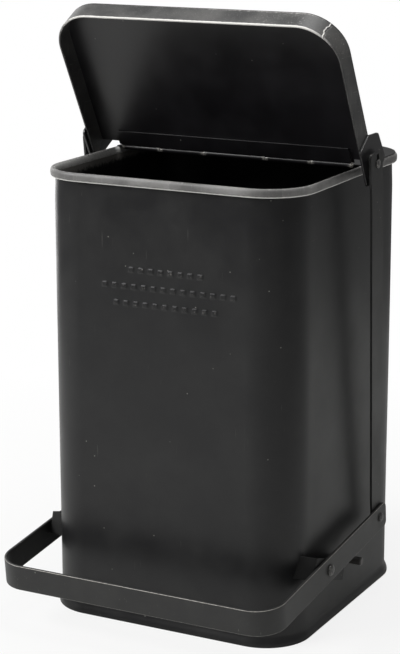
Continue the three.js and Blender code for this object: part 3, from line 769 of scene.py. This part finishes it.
def hingeLeaf(spans, direction, tilt, top):
    h = hinge
    clear = h["barrel"] + h["gap"]
    under = top - h["leafThick"]
    near, far, reach = (direction * d for d in (h["tongue"][0], clear + h["tongue"][1],
                                                h["leafReach"]))
    shells = []
    for start, end in spans:
        section = barrel(start, end)
        points = turned(section, np.zeros(3), 1, steps=28)
        fromEnd = np.minimum(section[:, 0] - start, end - section[:, 0])
        wearAndPaintedLight = 0.32 + 0.34 * np.exp(-(fromEnd / h["bareEnd"]) ** 2)
        shells.append(shell(tilted(points, tilt, hingeAt), wearAndPaintedLight[:, None]))
        tongue, _ = loop([(near, top), (near, under), (far, under), (far, top)],
                         h["tongueEdge"], arcSteps=2)
        shells.append(strip(tongue, start + h["tongueShort"], end - h["tongueShort"], tilt, 0.1))
    leaf, _ = loop([(direction * clear, top), (direction * clear, under),
                    (reach, under), (reach, top)], h["leafEdge"], arcSteps=3)
    shells.append(strip(leaf, -leafHalf, leafHalf, tilt, 0.0))
    return shells


def strip(section, start, end, tilt, wearAndPaintedLight):
    # section in (y, z) drawn out along x, then tilted about the hinge
    x = np.linspace(start, end, max(int((end - start) / 12), 2))
    points = np.stack([np.broadcast_to(x, (len(section), len(x))),
                       np.broadcast_to(section[:, :1], (len(section), len(x))),
                       np.broadcast_to(section[:, 1:], (len(section), len(x)))], -1)
    return shell(tilted(points, tilt, hingeAt), wearAndPaintedLight, wrapColumns=False, caps=True)


def makeHinge():
    near, far = hinge["breaks"]
    slack = hinge["gap"] / 2
    outer = [(-leafHalf, -far - slack), (-near + slack, near - slack), (far + slack, leafHalf)]
    inner = [(-far + slack, -near - slack), (near + slack, far - slack)]
    makePiece("hingeLeafCasing", "casing", "hingeSteel",
              hingeLeaf(outer, 1, 0, rimHigh[2] - hingeAt[2]), ["hinge_leaf_casing"])
    underLid = lid["panelTop"] - lid["sheet"] - lid["seamGap"]
    makePiece("hingeLeafLid", "lid", "hingeSteel",
              hingeLeaf(inner, -1, pose["lidTurn"], underLid), ["hinge_leaf_lid"])
    low, high = boxOf("hinge_pin")
    radius = (high[2] - low[2]) / 2
    pin = turned(barProfile([(low[0], high[0], radius)]), (0, hingeAt[1], hingeAt[2]), 1, steps=24)
    makePiece("hingePin", "casing", "hingeSteel",
              [shell(pin, 0.8, wrapRows=False)], ["hinge_pin"])


# the lid: panel, welded band and the two lugs
lid = {
    "sheet": 1.2,
    "panelTop": 0.9,
    "seamGap": 0.3,
    "reach": 166.8,
    "corner": 39,
    "bandDepth": 22.5,
    "tail": 4.5,
    "tailTop": 10,
    "notch": (126, 7, 3),  # half width, and how far back the panel ends outside and inside it
    "hem": 0.75,  # extra thickness of the turned free edge
    "hemHeight": 2.6,
    "weldTurn": -49,  # degrees round the front right corner
    "weldSpan": 6.5,  # degrees each side that are finely divided
    "weldGroove": 0.6,
    "grooveAt": (1.25, 0.4),  # how far beside the bead, and how wide
    "weldBead": 0.5,
    "beadWide": 0.6,
    "crown": 0.9,
    "waviness": 0.15,
    "panelRoll": 1.1,  # radius of the panel's edge
    "notchBends": (1.2, 0.8),
    "lug": ((-6, -25.8), (34, -25.8), (37.5, -2), (26.5, 18), (-6, 22.4)),
    "lugRounding": 5,
    "lugThick": 2,
}
lidHalf = boxOf("lid_band")[1][0]


def lidPanel():
    n = lid
    inner, outerEnd, innerEnd = n["notch"]
    corners = [(lidHalf, -outerEnd), (inner, -outerEnd), (inner, -innerEnd), (-inner, -innerEnd),
               (-inner, -outerEnd), (-lidHalf, -outerEnd), (-lidHalf, -n["reach"]),
               (lidHalf, -n["reach"])]
    wide, tight = n["notchBends"]
    bends = [wide, tight, tight, tight, tight, wide, n["corner"], n["corner"]]
    path, normals = bendPath(corners, bends, 4, arcSteps=16)
    top, under = n["panelTop"], n["panelTop"] - n["sheet"]
    radius = n["panelRoll"]
    turn = np.radians([0, 22, 45, 67, 90])
    roll = [(radius * (1 - math.cos(a)), top - radius * (1 - math.sin(a))) for a in turn]
    edge = [(1.6, under), (0.5, under), (0.05, under + 0.05)] + roll + [(1.8, top), (4.0, top)]
    points = plate(path, normals, edge)
    x, y = points[..., 0] / lidHalf, (points[..., 1] + n["reach"] / 2) / (n["reach"] / 2)
    points[..., 2] += n["crown"] * bulge(x, y)
    wave = n["waviness"] * np.sin(points[..., 0] / 37) * np.sin(points[..., 1] / 29)
    points[..., 2] += wave * np.clip(1 - x ** 4, 0, 1)
    wearAndPaintedLight = np.full(len(points), 0.08)
    wearAndPaintedLight[9:16] = [0.3, 0.45, 0.6, 0.62, 0.6, 0.45, 0.2]     # up over the edge
    return shell(tilted(points, pose["lidTurn"], hingeAt), wearAndPaintedLight[:, None], wrapRows=False)


def lidBand():
    n = lid
    top = n["panelTop"] - n["sheet"] - n["seamGap"]
    bottom = n["panelTop"] - n["bandDepth"]
    weldAngle = math.radians(n["weldTurn"])
    close = weldAngle + np.radians(np.linspace(-n["weldSpan"], n["weldSpan"], 55))
    corners = [(-lidHalf, n["tail"]), (-lidHalf, -n["reach"]), (lidHalf, -n["reach"]),
               (lidHalf, n["tail"])]
    path, normals = bendPath(corners, [0, n["corner"], n["corner"], 0], 4, closed=False,
                             arcSteps=22, extraAngles={2: close})
    inner, hem = -n["sheet"], -n["sheet"] - n["hem"]
    hemTop = bottom + n["hemHeight"]
    section, _ = loop([(0, top), (inner, top), (inner, hemTop + 0.6), (hem, hemTop),
                       (hem, bottom), (0, bottom)], [0.35, 0.3, 0.3, 0.4, 0.85, 0.85], gap=1.2)
    points = carried(path, normals, section)
    offset, height = section[:, None, 0], section[:, None, 1]
    # weld across the corner: a ridge exp(-(d / wide)^2) and a groove beside it, both wandering
    angle = np.arctan2(path[:, 1] + n["reach"] - n["corner"],
                       path[:, 0] - lidHalf + n["corner"])[None]
    wander = 0.9 * np.sin(height * 0.32 + 2.2) + 0.35 * np.sin(height * 1.1 + 1)
    along = n["corner"] * (angle - weldAngle) - wander
    onCorner = (path[:, 0] > lidHalf - n["corner"]) & (path[:, 1] < n["corner"] - n["reach"])
    outside = smoothStep(-0.7, -0.3, offset) * onCorner[None]
    grooveAt, grooveWide = n["grooveAt"]
    groove = np.exp(-((along - grooveAt) / grooveWide) ** 2) * outside
    bead = np.exp(-(along / n["beadWide"]) ** 2) * outside
    points[..., :2] += normals[None] * (bead * n["weldBead"] - groove * n["weldGroove"])[..., None]
    # ends cut on a slant: the side runs stretch so that each height ends on the cut line
    start = n["corner"] - n["reach"]
    down = (n["panelTop"] + 1 - height) / (n["bandDepth"] + 1)
    cut = -n["tailTop"] + down * (n["tail"] + n["tailTop"])
    share = np.clip((path[None, :, 1] - start) / (n["tail"] - start), 0, 1)
    flat = abs(path[None, :, 0]) > lidHalf - 0.01
    points[..., 1] += np.where(flat, share * (cut - n["tail"]), 0)
    edgeWear = (smoothStep(bottom + 2.2, bottom + 0.4, height)
                + 0.5 * smoothStep(top - 1.2, top, height))
    # the front run is painted paler, most towards the right corner, partly as wear and partly as
    # painted highlight; the side runs keep more lacquer
    front = np.clip(-normals[:, 1], 0, 1)[None] ** 2
    highlightToRight = smoothStep(-lidHalf, lidHalf, path[None, :, 0])
    wearAndPaintedLight = (0.18 + front * (0.16 + 0.16 * highlightToRight) + (0.26 + 0.24 * front) * edgeWear
            + 0.8 * bead - 0.6 * groove)
    return shell(tilted(points, pose["lidTurn"], hingeAt), np.clip(wearAndPaintedLight, 0, 1),
                 wrapColumns=False, caps=True)


def lidLug(side):
    n = lid
    corners = [(-forward, up) for forward, up in n["lug"]]
    outline, normals = loop(corners, n["lugRounding"], gap=3, arcSteps=8)
    near, far = lidHalf, lidHalf + n["lugThick"]
    edge = [(0.8, near), (0.1, near), (0, near + 0.1), (0, far - 0.55), (0.16, far - 0.16),
            (0.55, far), (1.4, far)]
    points = sideways(plate(outline, normals, edge), side)
    wearAndPaintedLight = np.full(len(points), 0.15)
    wearAndPaintedLight[9:14] = [0.3, 0.55, 0.62, 0.6, 0.3]      # out over the edge
    return shell(tilted(points, pose["lidTurn"], hingeAt), wearAndPaintedLight[:, None], wrapRows=False)


makePiece("lidPanel", "lid", "lidLacquer", [lidPanel()], ["lid_panel"])
makePiece("lidBand", "lid", "bandLacquerPaintedHighlight", [lidBand()], ["lid_band"])
for name, side in sides:
    makePiece("lidLug_" + name, "lid", "lidLacquer", [lidLug(side)],
              ["lid_lug_" + name])
makeHinge()
print("lid and hinge made")

# crank pins, one in each lug, with a collar inside the lift rod and a head outside it
crankPin = {
    "stub": 2.5,
    "collar": 4.5,
    "head": 4.2,
    "headThick": 1.4,
    "collarEnd": 5.25,
    "headStart": 8.35,
    "overlap": 0.2,  # the stub runs on inside the head
}


def crankPinShell(name, side):
    c = crankPin
    place, *_ = spanOf("crank_pin_" + name)
    centre = (side * lidHalf, place[1], place[2])
    head = domeProfile(c["head"], c["headThick"], c["headStart"])
    stub = barProfile([(0, c["headStart"] + c["overlap"], c["stub"])])
    collar = barProfile([(lid["lugThick"], c["collarEnd"], c["collar"])])
    return turnedShells(centre, side, (stub, 0.5), (collar, 0.4), (head, 0.5))


for name, side in sides:
    makePiece("crankPin_" + name, "lid", "rivetLacquer", crankPinShell(name, side),
              ["crank_pin_" + name])

# the pedal: one flat bar bent round the front, arms back to the rod rivets
pedal = {
    "reach": 124,  # pivot to the front face, with the band level
    "tail": 135.6,
    "thick": 3,
    "height": 25,
    "corner": 28,
    "endRounding": 5,
    "edge": 0.8,
    "cornerRub": (0.25, 0.55),  # how deep in the edges are rubbed most, and how wide
}
rodRivetShape = {"washer": 1.2, "shank": 2.5}
pedalHalf = boxOf("pedal_band")[1][0]


def pedalBand():
    p = pedal
    length = p["tail"] + p["reach"] - p["corner"]
    rounding = p["endRounding"]
    # stations of the arms: even, then closing up over the rounded end
    near = rounding * (1 - np.sin(np.linspace(0, math.pi / 2, 9)))[1:-1] / length
    even = np.linspace(0, 1 - (rounding + 1) / length, 44)[1:]
    arm = np.concatenate([even, [1 - rounding / length], 1 - near])
    corners = [(-pedalHalf, p["tail"]), (-pedalHalf, -p["reach"]), (pedalHalf, -p["reach"]),
               (pedalHalf, p["tail"])]
    path, normals = bendPath(corners, [0, p["corner"], p["corner"], 0],
                             [1 - arm[::-1], 5.0, arm, 5.0], closed=False, arcSteps=24)
    half = p["height"] / 2
    section, _ = loop([(0, half), (-p["thick"], half), (-p["thick"], -half), (0, -half)],
                      p["edge"], gap=2.4)
    points = carried(path, normals, section)
    left = np.clip(p["tail"] - path[:, 1], 0, rounding)
    points[..., 2] *= ((half - rounding + roundEnd(rounding, left)) / half)[None]
    deep, wide = p["cornerRub"]
    toCorner = np.hypot(section[:, 0] + deep, half - deep - abs(section[:, 1]))
    rubbed = 0.5 * np.exp(-(toCorner / wide) ** 2)
    tip = 0.3 * (1 - smoothStep(0, 2, left))
    wearAndPaintedLight = np.clip(0.18 + rubbed[:, None] + tip[None], 0, 1)
    return shell(tilted(points, pose["pedalTurn"], pedalAt), wearAndPaintedLight, wrapColumns=False, caps=True)


def rodRivet(name, side):
    centre, near, far, radius = spanOf("rod_rivet_" + name)
    washerEnd = near + rodRivetShape["washer"]
    shank = barProfile([(near, washerEnd, radius), (washerEnd, pedalHalf, rodRivetShape["shank"])])
    head = domeProfile(radius, far - pedalHalf, pedalHalf)
    return turnedShells(centre, side, (shank, 0.2), (head, 0.42))


makePiece("pedalBand", "pedal", "pedalLacquer", [pedalBand()], ["pedal_band"])
for name, side in sides:
    makePiece("rodRivet_" + name, "pedal", "rivetLacquer", rodRivet(name, side),
              ["rod_rivet_" + name])
print("pedal made")

# brackets, pivot rivets and stop studs
bracket = {
    "outer": 143.2,
    "thick": 2,
    "width": 21.5,
    "front": -27,
    "back": 43.6,
    "leg": 10,
    "foot": 12,
    "frontLeg": 9,
    "frontRun": 26,
    "bend": 2.6,
    "edge": 0.5,
}
pivotRivetShape = {"head": 3, "washer": 1.6, "washerRadius": 4.6, "shank": 3}


def bracketStrap(side):
    b = bracket
    half = b["thick"] / 2
    middle, wall = b["outer"] - half, wallX + half
    legEnd = b["back"] + b["leg"]
    corners = [(b["outer"] - b["frontRun"], b["front"] - b["frontLeg"] + half),
               (middle, b["front"]), (middle, b["back"]), (wall, legEnd),
               (wall, legEnd + b["foot"])]
    path, normals = bendPath(corners, b["bend"], 3, closed=False, arcSteps=7)
    section, _ = loop([(half, b["width"] / 2), (-half, b["width"] / 2), (-half, -b["width"] / 2),
                       (half, -b["width"] / 2)], b["edge"], gap=2.4, arcSteps=4)
    points = carried(path, normals, section)
    points[..., 0] *= side
    edge = smoothStep(b["width"] / 2 - 1.2, b["width"] / 2 - 0.2, abs(section[:, 1]))
    return shell(tilted(points, pose["bracketTurn"], pedalAt), (0.15 + 0.30 * edge)[:, None],
                 wrapColumns=False, caps=True)


def footRivet(name, side):
    centre, near, far, radius = spanOf("bracket_rivet_" + name)
    return turnedShells(centre, side, (domeProfile(radius, far - near, near), 0.35))


def pivotRivet(name, side):
    r = pivotRivetShape
    centre, near, far, radius = spanOf("pivot_rivet_" + name)
    head = domeProfile(radius, r["head"], far - r["head"])
    shank = barProfile([(near, near + r["washer"], r["washerRadius"]),
                        (near + r["washer"], far - r["head"], r["shank"])])
    return turnedShells(centre, side, (shank, 0.25), (head, 0.45))


def stopStud(name, side):
    centre, near, far, radius = spanOf("stop_stud_" + name)
    return turnedShells(centre, side, (barProfile([(near, far, radius)], edge=1.0), 0.4))


for name, side in sides:
    makePiece("pivotBracket_" + name, "casing", "bracketLacquerPaintedShade",
              [bracketStrap(side)], ["pivot_bracket_" + name])
    makePiece("bracketRivet_" + name, "casing", "rivetLacquer",
              footRivet(name, side), ["bracket_rivet_" + name])
    makePiece("pivotRivet_" + name, "casing", "rivetLacquer",
              pivotRivet(name, side), ["pivot_rivet_" + name])
    makePiece("stopStud_" + name, "casing", "rivetLacquer",
              stopStud(name, side), ["stop_stud_" + name])
print("pivots made")

# the lift rods: flat strips with a slot at the top for the crank pin
rod = {
    "thick": 2.2,
    "low": -11.2,  # ends, measured along the rod from its lower pivot
    "lowHalf": 11.2,
    "topHalf": 13.5,
    "pastPin": 11.5,
    "pinAt": 360.12,
    "rounding": 5,
    "lean": 10.1,  # how much further out the top stands
    "lowFlat": 22,
    "topFlat": 45,
    "bend": 7,  # the bends are eased over this length
    "slotMiddle": 1.39,
    "slotHalf": 3.9,
    "slotBelow": 2.95,
    "slotAbove": 9,
    "slotEnd": 0.8,  # the slot's first and last row
    "edge": 0.45,
}


def thickSheet(face, back, keep, wearAndPaintedLight):
    # two grids joined along the border of the kept cells, so that a slot has walls too
    rows, columns = face.shape[:2]
    number = np.arange(rows * columns).reshape(rows, columns)
    other = number + rows * columns
    corners = np.stack([number[:-1, :-1], number[:-1, 1:],
                        number[1:, 1:], number[1:, :-1]], -1)[keep]
    padded = np.pad(keep, 1)
    across = padded[:-1, 1:-1] != padded[1:, 1:-1]      # border edges that run along a row
    up = padded[1:-1, :-1] != padded[1:-1, 1:]
    walls = [np.stack([number[:, :-1], number[:, 1:], other[:, 1:], other[:, :-1]], -1)[across],
             np.stack([number[:-1], number[1:], other[1:], other[:-1]], -1)[up]]
    faces = np.concatenate([corners, corners + rows * columns] + walls)
    return {"points": np.concatenate([face.reshape(-1, 3), back.reshape(-1, 3)]),
            "faces": faces.tolist(),
            "wearAndPaintedLight": np.concatenate([wearAndPaintedLight.reshape(-1)] * 2)}


def liftRod(name, side):
    r = rod
    pivot = anchors["rod_" + name + "_pivot"]
    inner = boxOf("lift_rod_right")[0][0]
    top = r["pinAt"] + r["pastPin"]
    slotLow, slotHigh = r["pinAt"] - r["slotBelow"], r["pinAt"] + r["slotAbove"]
    roundUp = r["rounding"] * (1 - np.cos(np.linspace(0, math.pi / 2, 7)))
    slotRows = [slotLow, slotLow + r["slotEnd"], slotHigh - r["slotEnd"], slotHigh]
    z = np.unique(np.concatenate([r["low"] + roundUp, top - roundUp,
                                  np.arange(0, slotLow - 2, 4.0), slotRows]))
    half = r["lowHalf"] + (r["topHalf"] - r["lowHalf"]) * (z - r["low"]) / (top - r["low"])
    end = np.clip(np.minimum(z - r["low"], top - z), 0, r["rounding"])
    half = half - r["rounding"] + roundEnd(r["rounding"], end)
    # across: from one edge to the slot's side, over the slot, and on to the other edge
    parts = np.array([0, 0.12, 0.3, 0.65, 1])
    slotA, slotB = r["slotMiddle"] - r["slotHalf"], r["slotMiddle"] + r["slotHalf"]
    first = -half[:, None] + (slotA + half[:, None]) * parts
    across = np.concatenate([first, np.full((len(z), 1), (slotA + slotB) / 2),
                             slotB + (half[:, None] - slotB) * (1 - parts[::-1])], 1)
    # out from the casing: a straight slope between two flats, averaged over the bend length
    shifts = np.linspace(-r["bend"], r["bend"], 15)
    rise = (z[:, None] + shifts - r["lowFlat"]) / (top - r["topFlat"] - r["lowFlat"])
    slope = np.clip(rise, 0, 1).mean(1)
    out = inner + r["lean"] * slope[:, None] + np.zeros_like(across)
    height = np.broadcast_to(z[:, None], across.shape)
    back = np.stack([side * out, across, height], -1)
    face = np.stack([side * (out + r["thick"]), across, height], -1)
    keep = np.ones((len(z) - 1, across.shape[1] - 1), bool)
    middle = (z[:-1] + z[1:]) / 2
    inSlot = (middle > slotLow) & (middle < slotHigh)
    keep[np.ix_(inSlot, [4, 5])] = False
    fromEdge = half[:, None] - abs(across)
    wearAndPaintedLight = (0.15 + 0.22 * (1 - smoothStep(0.2, 1.4, fromEdge))
            + 0.2 * (1 - smoothStep(0, 2, end))[:, None])
    piece = thickSheet(face, back, keep, np.clip(wearAndPaintedLight, 0, 1))
    piece["points"] = tilted(piece["points"], pose["rodTurn"], pivot)
    return piece


for name, side in sides:
    makePiece("liftRod_" + name, "rod_" + name, "rodLacquer", [liftRod(name, side)],
              ["lift_rod_" + name], bevel=rod["edge"])
print("lift rods made")
